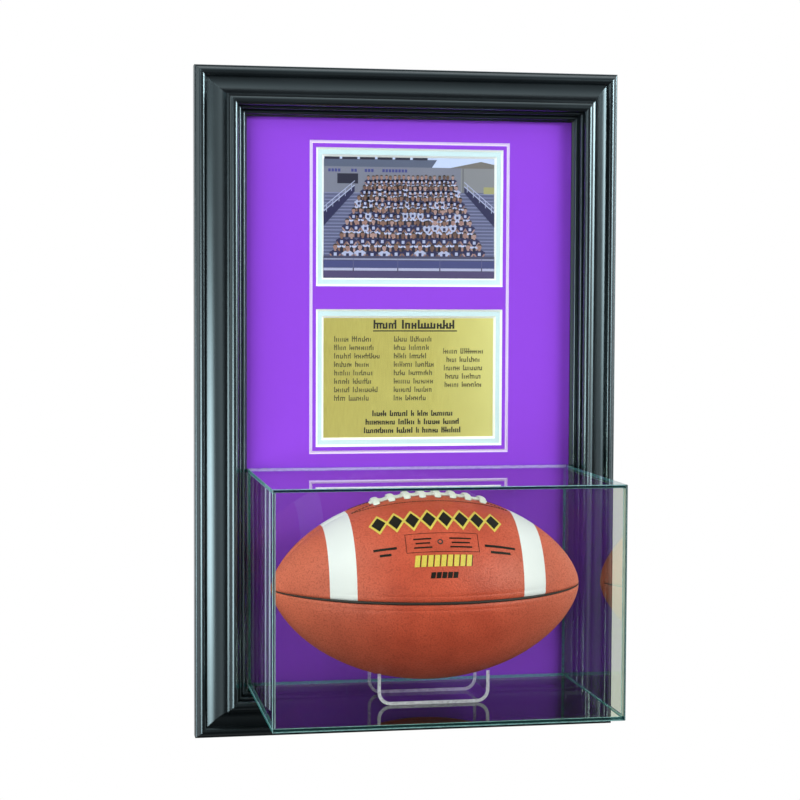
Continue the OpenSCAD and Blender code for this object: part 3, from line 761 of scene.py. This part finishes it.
def make_plaque():
    """A title, two columns of eight lines, one of five, and three closing lines."""
    sheet = Sheet(*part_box("brass_plaque"))
    chance = random.Random(11)
    black, soft = (0.016, 0.014, 0.006), (0.10, 0.085, 0.025)
    draw_words(sheet, -34.5, 46.9, 6.0, 80, (4, 9), black, 0.62, chance)
    sheet.bar(-35, 44.3, 47, 45.4, black)
    pitch = 8.05
    small = 3.7
    for row in range(8):
        for left, low, high in ((-72.5, 33, 46), (-14.7, 30, 42)):
            words = (chance.randint(3, 5), chance.randint(4, 8))
            draw_words(sheet, left, 34.6 - row * pitch, small, chance.uniform(low, high), words, soft,
                       0.52, chance)
    for row in range(5):
        width = chance.uniform(31, 41)
        words = (chance.randint(4, 5), chance.randint(6, 8))
        draw_words(sheet, 53.5 - width / 2, 23.0 - row * pitch, small, width, words, soft, 0.52, chance)
    closing = ((79, (4, 5, 1, 3, 6)), (92, (9, 5, 1, 5, 5)), (95, (9, 5, 1, 5, 6)))
    for row, (width, words) in enumerate(closing):
        draw_words(sheet, 4.0 - width / 2, -36.8 - row * 8.1, 3.9, width, words, black, 0.66, chance)
    add_piece("plaque_marks", sheet.mesh("plaque_marks"), "cabinet",
              [painted("plaque_ink", 0.5, 0.04)])


# ---- the mats ----

SQUARE = 0.9             # a normal's share along an axis, above which a face is square to it
# A bevel further than this from the middle of the windows is the groove's, not a window's.
GROOVE_X, GROOVE_UP = 93.6 * MM, 145 * MM
GROOVE_Z = sum(corner.z for node in ("photo_print", "brass_plaque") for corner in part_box(node)) / 4


def front_or_rest(normal, centre):
    """0 for the front face, 1 for the bevels and edges."""
    return 0 if normal.y < -SQUARE else 1


def ends_or_rest(normal, centre):
    """0 for what faces the front or the rear, 1 for the rest."""
    return 0 if abs(normal.y) > SQUARE else 1


def mat_face(normal, centre):
    """Front face, bevel of a window, or V-groove, which lies outside the windows."""
    if normal.y < -SQUARE:
        return 0
    return 2 if abs(centre.x) > GROOVE_X or abs(centre.z - GROOVE_Z) > GROOVE_UP else 1


def make_mats():
    core = board("mat_core", (0.95, 0.955, 0.97), 0.02)
    # The V-groove's white core is given a darker lilac: painted shade in the groove, with a painted
    # reflection of the purple mat.
    groove = board("groove_painted_shade", (0.74, 0.62, 0.88), 0.02)
    dress("top_mat", [board("purple_mat", (0.275, 0.055, 0.69), 0.05), core, groove], mat_face)
    dress("inner_mat", [board("pale_mat", (0.57, 0.72, 0.78), 0.02), core], front_or_rest)
    dress("photo_print", [plain("photo_paper", (0.75, 0.76, 0.78), 0.4, 900, 0.00001, 0.03)])
    dress("brass_plaque", [brushed_brass()])
    dress("picture_glass", [clear("picture_glass", (0.97, 0.99, 0.98), (0.93, 0.97, 0.95)),
                            glass_rim("picture_glass_rim", (0.02, 0.09, 0.08), (0.3, 0.6, 0.55), 0.6)],
          ends_or_rest, shrink=0.05)
    make_print()
    make_plaque()
    paint_node("backing_board", board("foam_board", (0.85, 0.84, 0.82), 0.02))
    aluminium = plain("black_aluminium", (0.02, 0.021, 0.022), 0.35, 2000, 0.00002)
    for side in ("left", "right", "top", "bottom"):
        dress("retainer_" + side, [aluminium], round_edge=0.15)


# ---- the glass box and its cradle ----

CLEAR, DARK, MINT, LEFT, RIGHT, GROUND, ARRIS = range(7)    # a pane's looks, in order
X, Y, Z = range(3)


def pane_looks():
    """The clear face, and a look for each kind of narrow edge of the box."""
    left_x, right_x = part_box("glass_left")[0].x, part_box("glass_right")[1].x
    lilac, straw, teal = (0.72, 0.80, 0.94), (0.62, 0.62, 0.50), (0.010, 0.060, 0.066)
    return [clear("box_glass", (0.915, 0.94, 0.91), (0.84, 0.86, 0.775)),
            glass_rim("glass_end_dark", (0.010, 0.060, 0.070), (0.10, 0.30, 0.34), 0.7),
            glass_rim("glass_end_mint", (0.10, 0.52, 0.48), (0.4, 0.8, 0.75), 0.85),
            side_pane_end("glass_end_left", lilac, teal, left_x + 1.5 * MM),
            side_pane_end("glass_end_right", straw, teal, right_x - 0.4 * MM),
            glass_rim("glass_end_ground", (0.80, 0.97, 1.0), (0.7, 0.85, 0.85), 1.0, 0.5),
            arris_glass("glass_arris", (0.34, 0.62, 0.64), teal, right_x - 1.0 * MM)]


def pane_picker(axis, side, front, rear):
    """Picks the looks of a pane square to an axis: clear, and its side, front and rear ends."""
    def pick(normal, centre):
        if abs(normal[axis]) > SQUARE:
            return CLEAR
        if abs(normal.y) > SQUARE:
            return front if normal.y < 0 else rear
        return side
    return pick


def make_glass_box():
    looks = pane_looks()
    panes = (("front", Y, DARK, DARK, DARK), ("top", Z, MINT, DARK, GROUND),
             ("bottom", Z, MINT, DARK, MINT), ("left", X, MINT, LEFT, MINT),
             ("right", X, MINT, RIGHT, MINT))
    for name, *ends in panes:
        pane = dress("glass_" + name, looks, pane_picker(*ends), 0.4, 0.03, segments=1)
        pane.modifiers["rounded edges"].material = ARRIS
    paint_node("box_seal", glass_rim("clear_silicone", (0.45, 0.5, 0.5), (0.8, 0.85, 0.85), 0.35, 0.3))


def make_cradle():
    """The bent strip: clear faces, and pale edges to the front and rear."""
    dress("ball_cradle", [glass_rim("acrylic_edge", (0.88, 0.86, 1.0), (0.9, 0.9, 0.97), 0.75, 0.2),
                          clear("clear_acrylic", (0.985, 0.985, 0.99), (0.96, 0.96, 0.98))],
          ends_or_rest)


# ---- the football ----

FULLNESS = 0.62          # power of the outline, as in the CAD
ROLL = 2.3               # degrees that the laces lean to the front
panel_boxes = [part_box(f"ball_panel_{number}") for number in (1, 2, 3, 4)]
ball_low = Vector([min(box[0][axis] for box in panel_boxes) for axis in range(3)])
ball_high = Vector([max(box[1][axis] for box in panel_boxes) for axis in range(3)])
BALL = (ball_low + ball_high) / 2
BALL_HALF = (ball_high.x - ball_low.x) / 2
BALL_R = (ball_high.z - ball_low.z) / 2
STRIPES = ((-97.5, -75.0), (75.0, 97.5))    # mm along the axis
TOP = 90                 # degrees above the front seam, where the laces run
# A panel's rows, in degrees from the nearest seam, close together where the leather dips.
FROM_SEAM = (0, 0.5, 1.0, 1.7, 2.5, 3.3, 3.7, 4.1, 4.5, 5.0, 6.2, 8, 11, 15, 20, 26, 32, 38.5)


def ball_radius(x):
    """The ball's radius x metres from its middle, along the axis."""
    return BALL_R * max(0.0, 1 - (x / BALL_HALF) ** 2) ** FULLNESS


def ball_point(x, angle, height=0.0):
    """A point over the leather: x in metres along the axis, degrees above the front seam."""
    u = max(-0.9999, min(0.9999, x / BALL_HALF))
    slope = -2 * FULLNESS * BALL_R / BALL_HALF * u * (1 - u * u) ** (FULLNESS - 1)
    length = math.hypot(1, slope)
    out = ball_radius(x) + height / length
    turn = math.radians(angle - ROLL)
    return BALL + Vector((x - height * slope / length, -out * math.cos(turn), out * math.sin(turn)))


def seam_dip(x, angle):
    """How far the leather sinks beside the nearest seam, in metres."""
    near = min(angle % 90, 90 - angle % 90)
    away = math.radians(near) * max(ball_radius(x), 12 * MM)
    shrink = min(1, ball_radius(x) / (30 * MM))
    crease = 1.5 * MM * math.exp(-(away / (1.5 * MM)) ** 2)
    slope = 0.45 * MM * math.exp(-(away / (6 * MM)) ** 2)
    fold = 0.28 * MM * math.exp(-((away - 6.2 * MM) / (0.55 * MM)) ** 2)
    return shrink * (crease + slope + fold)


def panel_columns():
    """Places along the axis, closer together at the tips, with one at each stripe's edge."""
    count = 84
    places = [BALL_HALF * math.sin(math.radians(-90 + 180 * i / count)) for i in range(count + 1)]
    edges = [x * MM for stripe in STRIPES for x in stripe]
    places = [x for x in places if min(abs(x - e) for e in edges) > 1.2 * MM]
    return sorted(places + edges)


def panel_mesh(number):
    """A quarter of the ball, sunk at its seams; the stripes of panels 1 and 2 are material 1."""
    start = 90 * (number - 1)
    rows = [*FROM_SEAM, 45] + [90 - angle for angle in FROM_SEAM[::-1]]
    columns = panel_columns()
    verts = [ball_point(x, start + a, -seam_dip(x, a)) for a in rows for x in columns]
    width = len(columns)
    faces, slots = [], []
    for j in range(len(rows) - 1):
        for i in range(width - 1):
            faces.append((j * width + i, j * width + i + 1, (j + 1) * width + i + 1,
                          (j + 1) * width + i))
            middle = (columns[i] + columns[i + 1]) / 2 / MM
            on_stripe = any(low < middle < high for low, high in STRIPES)
            slots.append(1 if on_stripe and number in (1, 2) else 0)
    mesh = bpy.data.meshes.new(f"leather_panel_{number}")
    mesh.from_pydata(verts, [], faces)
    mesh.polygons.foreach_set("material_index", slots)
    mesh.polygons.foreach_set("use_smooth", [True] * len(faces))
    return mesh


def make_panel(number, looks):
    """One of the four leather panels; the two upper ones carry the white stripes."""
    mesh = panel_mesh(number)
    shape = bmesh.new()
    shape.from_mesh(mesh)
    bmesh.ops.remove_doubles(shape, verts=shape.verts, dist=1e-6)
    shape.to_mesh(mesh)
    shape.free()
    piece = add_piece(f"leather_panel_{number}", mesh, "ball", looks,
                      [f"ball_panel_{number}"])
    shell = piece.modifiers.new("thickness", "SOLIDIFY")
    shell.thickness = 1.8 * MM
    shell.offset = -1


def tube(points, outs, radius, sides=8, flat=1.0):
    """Verts and faces of a tube along points; outs are directions off the surface there.

    radius is a length or a function of the point's number, and flat squashes the tube.
    """
    verts, faces = [], []
    last = len(points) - 1
    for i, (point, out) in enumerate(zip(points, outs)):
        along = (points[min(i + 1, last)] - points[max(i - 1, 0)]).normalized()
        across = along.cross(out).normalized()
        lift = across.cross(along).normalized()
        r = radius(i) if callable(radius) else radius
        for k in range(sides):
            turn = 2 * math.pi * k / sides
            verts.append(point + across * r * math.cos(turn) + lift * r * flat * math.sin(turn))
    for i in range(last):
        a, b = i * sides, (i + 1) * sides
        for k in range(sides):
            n = (k + 1) % sides
            faces.append((a + k, a + n, b + n, b + k))
    faces.append(tuple(range(sides))[::-1])
    faces.append(tuple(last * sides + k for k in range(sides)))
    return verts, faces


def join_parts(name, parts):
    """One smooth mesh from several (verts, faces) parts."""
    verts, faces = [], []
    for part_verts, part_faces in parts:
        first = len(verts)
        verts += part_verts
        faces += [tuple(first + i for i in face) for face in part_faces]
    mesh = bpy.data.meshes.new(name)
    mesh.from_pydata(verts, [], faces)
    mesh.polygons.foreach_set("use_smooth", [True] * len(faces))
    return mesh


def add_on_ball(name, parts, look, stands_for=()):
    """One piece, joined from parts, that turns with the ball."""
    return add_piece(name, join_parts(name, parts), "ball", [look], stands_for)


def outward(x, angle):
    """The direction straight off the leather."""
    return (ball_point(x, angle, 0.001) - ball_point(x, angle)).normalized()


def make_seam_shade(look):
    """A dark tube along the front and rear seams, thinner at the tips: painted shade in the seams'
    creases.
    """
    parts = []
    steps = 90
    turns = [math.radians(-90 + 180 * i / steps) for i in range(steps + 1)]
    xs = [BALL_HALF * 0.992 * math.sin(turn) for turn in turns]
    radii = [(0.35 + 0.95 * min(1, ball_radius(x) / (70 * MM))) * MM for x in xs]
    for angle in (0, 180):
        points = [ball_point(x, angle, -1.0 * MM * min(1, ball_radius(x) / (30 * MM))) for x in xs]
        outs = [outward(x, angle) for x in xs]
        parts.append(tube(points, outs, radii.__getitem__))
    add_on_ball("seam_shade_tubes", parts, look)


def lace_strip(places, width, thickness):
    """A soft flat lace along (x, angle, height) places, with rounded edges."""
    points = [ball_point(*place) for place in places]
    outs = [outward(x, angle) for x, angle, _ in places]
    last = len(points) - 1
    ends = [min(1, 0.55 + 0.6 * min(i, last - i)) for i in range(last + 1)]
    return tube(points, outs, lambda i: width / 2 * ends[i], 12, thickness / width)


LACE_COUNT = 8
LACE_W = 6.6 * MM
LACE_T = 2.5 * MM
LACE_REACH = 9.0         # degrees that a cross lace reaches to each side of the top
LACE_HOLE = 8.2          # degrees from the top to the middle of a lace's hole


def lace_places():
    """The cross laces' places along the axis, from the laces' box in the CAD."""
    lo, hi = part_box("ball_laces")
    inset = 7.5 * MM         # from the end of the laces to the first crossing
    first = (lo.x - BALL.x) + inset
    last = (hi.x - BALL.x) - inset
    return [first + (last - first) * i / (LACE_COUNT - 1) for i in range(LACE_COUNT)]


def cross_lace(x):
    """One lace over the top, its ends turned down into the leather."""
    shares = [t / 9 for t in range(-9, 10)]
    return lace_strip([(x, TOP + LACE_REACH * t, (2.7 - 4.6 * abs(t) ** 4) * MM) for t in shares],
                      LACE_W, LACE_T)


def long_lace(xs, side):
    """A lengthwise strand beside the top line, rising over and sinking between the cross laces."""
    first, last, pitch = xs[0], xs[-1], xs[1] - xs[0]
    run = [first - 5.5 * MM + (last - first + 11 * MM) * i / 48 for i in range(49)]
    heights = [(0.6 + 0.5 * math.cos(2 * math.pi * (x - first) / pitch)) * MM for x in run]
    return lace_strip([(x, TOP + side * 2.4, h) for x, h in zip(run, heights)], 4.6 * MM, 2.6 * MM)


def lace_hole_shade(x, side):
    """A small dark patch of painted shade where a lace goes into the leather."""
    turns = [2 * math.pi * k / 12 for k in range(12)]
    ring = [ball_point(x + 2.9 * MM * math.cos(t), TOP + side * (LACE_HOLE + 1.5 * math.sin(t)),
                       0.05 * MM) for t in turns]
    return ring, [tuple(range(12))]


def make_laces(look, hole_shade_look):
    """Eight cross laces over two lengthwise strands, with a dark patch of painted shade for the hole at
    each end of a cross lace.
    """
    xs = lace_places()
    parts = [cross_lace(x) for x in xs] + [long_lace(xs, side) for side in (-1, 1)]
    piece = add_on_ball("woven_laces", parts, look, ["ball_laces"])
    smooth = piece.modifiers.new("soft", "SUBSURF")
    smooth.levels = smooth.render_levels = 1
    add_on_ball("lace_holes", [lace_hole_shade(x, side) for x in xs for side in (-1, 1)], hole_shade_look)


def stitched(line):
    """Short stitches along a line of (x, angle) places, two steps long with one step between."""
    made = []
    for i in range(0, len(line) - 2, 3):
        run = line[i:i + 3]
        points = [ball_point(x, a, 0.12 * MM) for x, a in run]
        made.append(tube(points, [outward(x, a) for x, a in run], 0.42 * MM, 6))
    return made


def make_patch_stitches(look):
    """The dark stitched outline of the lacing patch, pointed at its ends."""
    parts = []
    half = 72                # mm, half the patch's length
    near = 9.5               # degrees from the top to the patch's edge, at its ends
    steps = 186
    for side in (-1, 1):
        line = []
        for i in range(steps + 1):
            x = -half + 2 * half * i / steps
            line.append((x * MM, TOP + side * (near + 5.5 * (1 - (x / half) ** 2))))
        for end in (-1, 1):
            shares = [k / 18 for k in range(19)]
            parts += stitched([((half - 20 * t) * end * MM, TOP + side * (near - 4.0 * t ** 0.8))
                               for t in shares])
        parts += stitched(line)
    add_on_ball("patch_stitches", parts, look)


def ball_quad(corners, height, nx, ny=3):
    """A patch laid height mm over the leather between four (x in mm, angle) corners."""
    a, b, c, d = (Vector(p) for p in corners)
    verts, faces = [], []
    for j in range(ny + 1):
        for i in range(nx + 1):
            u, v = i / nx, j / ny
            place = (a * (1 - u) + b * u) * (1 - v) + (d * (1 - u) + c * u) * v
            verts.append(ball_point(place.x * MM, place.y, height * MM))
    for j in range(ny):
        for i in range(nx):
            k = j * (nx + 1) + i
            faces.append((k, k + 1, k + nx + 2, k + nx + 1))
    return verts, faces


def lozenge(x, angle, half_x, half_angle, height):
    return ball_quad([(x - half_x, angle), (x, angle - half_angle), (x + half_x, angle),
                      (x, angle + half_angle)], height, 5, 5)


def slant(x0, x1, low, high, lean, height=0.1, nx=4):
    """A bar from x0 to x1, its top moved sideways by lean."""
    return ball_quad([(x0, low), (x1, low), (x1 + lean, high), (x0 + lean, high)], height, nx)


def lozenge_row(half_x, half_angle, height):
    """Eight lozenges in a row that sags a little in its middle."""
    places = [-60 + 118 * (i + 0.5) / 8 for i in range(8)]
    return [lozenge(x, 56.5 - 1.3 * (1 - (x / 60) ** 2), half_x, half_angle, height) for x in places]


def valve_frame():
    """A thin frame of two upright and two level lines."""
    left, right, low, high = -32, 33, 31.3, 44.0
    line = 0.45              # mm wide; the level ones are 0.35 degrees high
    upright = [ball_quad([(x, low), (x + line, low), (x + line, high), (x, high)], 0.1, 1, 8)
               for x in (left, right)]
    level = [ball_quad([(left, a), (right + line, a), (right + line, a + 0.35), (left, a + 0.35)],
                       0.1, 40, 1) for a in (low, high)]
    return upright + level


def line_bars():
    """Thin bars: three pairs in the valve's frame and two on each side of it."""
    bars = []
    for row in range(3):
        angle = 34 + 2.9 * row
        inset = 1.6 * (row % 2)
        for x0, x1 in ((-25, -9), (7, 27)):
            bars.append(slant(x0 + inset, x1 - inset, angle, angle + 1.0, 0, nx=8))
    for x0, x1, low in ((-60, -40, 30.5), (39, 68, 31.0)):
        for row in range(2):
            inset = 5 * (1 - row)
            angle = low + 4.2 * row
            bars.append(slant(x0 + inset, x1 - inset, angle, angle + 1.7, 0, nx=8))
    return bars


def make_ornament(gold, black):
    """A plain printed pattern on the front panel: lozenges, a frame round the valve and bars."""
    golds = lozenge_row(8.6, 9.0, 0.10)
    blacks = lozenge_row(6.2, 6.5, 0.16)
    low, high, lean = 22.3, 29.4, 1.6
    for i in range(9):
        x = -26 + 52 * i / 9
        golds.append(slant(x, x + 4.6, low, high, lean))
        blacks.append(slant(x + 4.4, x + 5.1, low, high, lean, 0.11, 1))
    for i in range(5):
        x = -12.5 + 25 * i / 5
        blacks.append(slant(x, x + 4.2, 15.2, 18.9, 1.0))
    blacks += valve_frame() + line_bars()
    add_on_ball("gold_ornament", golds, gold)
    add_on_ball("black_ornament", blacks, black)


def make_valve(look):
    """The rubber valve: a raised ring round a sunken plug."""
    lo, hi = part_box("ball_valve")
    middle = (lo + hi) / 2 - BALL
    angle = math.degrees(math.atan2(middle.z, -middle.y)) + ROLL
    degrees_per_metre = math.degrees(1 / ball_radius(middle.x))
    # Each ring's radius and its height over the leather, in millimetres, from the outside in.
    rings = ((2.6, -0.3), (2.6, 0.12), (2.2, 0.3), (1.7, 0.25), (1.3, -0.1), (0.7, -0.45), (0.35, -0.5))
    sides = 20
    verts, faces = [], []
    for radius, height in rings:
        for k in range(sides):
            turn = 2 * math.pi * k / sides
            x = middle.x + radius * MM * math.cos(turn)
            up = radius * MM * math.sin(turn) * degrees_per_metre
            verts.append(ball_point(x, angle + up, height * MM))
    for j in range(len(rings) - 1):
        for k in range(sides):
            n = (k + 1) % sides
            faces.append((j * sides + k, j * sides + n, (j + 1) * sides + n, (j + 1) * sides + k))
    faces.append(tuple((len(rings) - 1) * sides + k for k in range(sides)))
    faces.append(tuple(range(sides))[::-1])
    add_on_ball("valve_ring", [(verts, faces)], look, ["ball_valve"])


def make_football():
    # The third colour is the painted sheen at the ball's tips.
    hide = leather("ball_hide", (0.55, 0.068, 0.032), (0.70, 0.100, 0.050), (0.84, 0.22, 0.13), 0.00022)
    white = plain("stripe_white", (0.90, 0.89, 0.97), 0.45, 1400, 0.00008, 0.04)
    for number in (1, 2, 3, 4):
        make_panel(number, [hide, white])
    # The dark seam tubes are painted shade in the seams.
    make_seam_shade(plain("seam_shade", (0.018, 0.014, 0.013), 0.6, 2600, 0.0001))
    # The lace holes are dark patches of painted shade.
    make_laces(plain("white_lace", (0.84, 0.86, 0.86), 0.6, 1900, 0.0002, 0.08),
               plain("lace_hole_shade", (0.09, 0.02, 0.012), 0.7, 1500, 0.0001))
    make_patch_stitches(plain("patch_thread", (0.05, 0.018, 0.012), 0.6, 3000, 0.0001))
    make_ornament(plain("gold_foil", (0.78, 0.60, 0.10), 0.38, 900, 0.00003, 0.12),
                  plain("black_ink", (0.010, 0.008, 0.006), 0.45, 900, 0.00003, Specular_IOR_Level=0.2))
    make_valve(plain("valve_rubber", (0.02, 0.02, 0.02), 0.5, 1500, 0.0001))
    paint_node("ball_bladder", plain("bladder_rubber", (0.03, 0.03, 0.03), 0.6, 800, 0.0001))


# ---- the whole scene ----

make_studio()
make_cabinet()
make_moulding()
make_mats()
make_glass_box()
make_cradle()
make_football()
